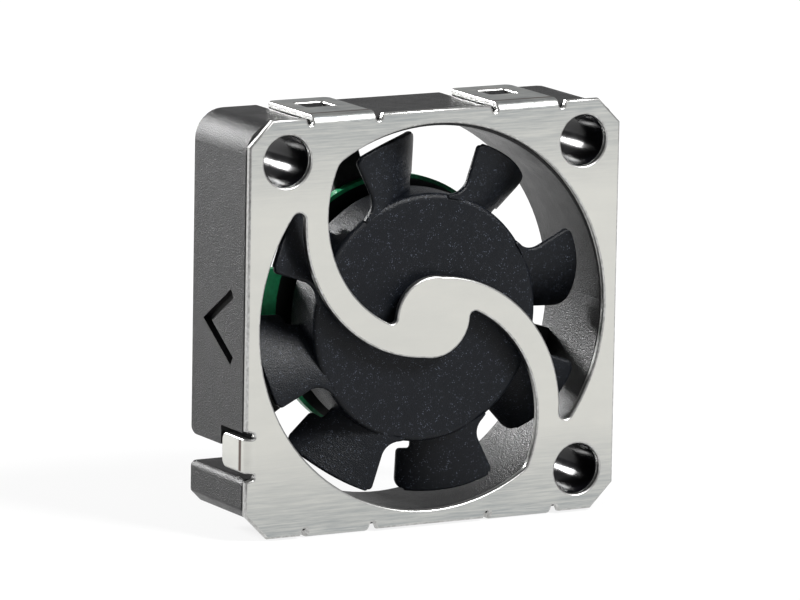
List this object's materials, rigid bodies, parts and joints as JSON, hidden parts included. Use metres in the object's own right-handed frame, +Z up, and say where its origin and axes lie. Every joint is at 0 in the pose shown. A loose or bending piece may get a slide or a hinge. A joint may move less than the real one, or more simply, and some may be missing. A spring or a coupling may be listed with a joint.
{
  "type": "axial fan",
  "caption": "Square axial micro fan with a pressed S-web face plate, a moulded frame with a round duct and a brushless motor in the hub.",
  "frame": {"origin": "midway across the width and depth, on the surface that the fan's two lower tabs stand on", "axes": "+Z up, +Y along the fan axis in the direction of the air flow, from the face plate to the motor base, +X to the right seen from the face plate"},
  "size_m": [0.025, 0.0072, 0.0253],
  "materials": {
    "plate_steel": "matt nickel-coloured sheet, bright along its pressed edges",
    "frame_plastic": "fine-textured black moulding",
    "impeller_plastic": "blue-black moulding with fine pale specks",
    "yoke_steel": "dark coated steel cup",
    "magnet": "bonded ferrite",
    "shaft_steel": "ground and polished",
    "bearing_bronze": "sintered bronze, oiled",
    "nylon": "natural nylon",
    "core_steel": "stacked electrical sheet",
    "winding": "enamelled copper wire",
    "board": "green solder mask",
    "chip": "black moulded package",
    "pin_brass": "tinned pins"
  },
  "bodies": {
    "frame": {"front_plate": "plate_steel", "housing": "frame_plastic", "sleeve_bearing": "bearing_bronze", "oil_ring": "nylon", "thrust_plate": "nylon", "stator_core": "core_steel", "front_insulator": "nylon", "rear_insulator": "nylon", "coil_1": "winding", "coil_2": "winding", "coil_3": "winding", "coil_4": "winding", "circuit_board": "board", "driver_chip": "chip", "chip_capacitor": "chip", "chip_resistor": "chip", "winding_pins": "pin_brass"},
    "rotor": {"impeller": "impeller_plastic", "rotor_yoke": "yoke_steel", "ring_magnet": "magnet", "shaft": "shaft_steel", "shaft_clip": "shaft_steel"}
  },
  "joints": [
    {"name": "impeller_spin", "type": "hinge", "parent": "frame", "child": "rotor", "pos_m": [0, 0, 0.01245], "axis": [0, -1, 0], "continuous": true}
  ]
}
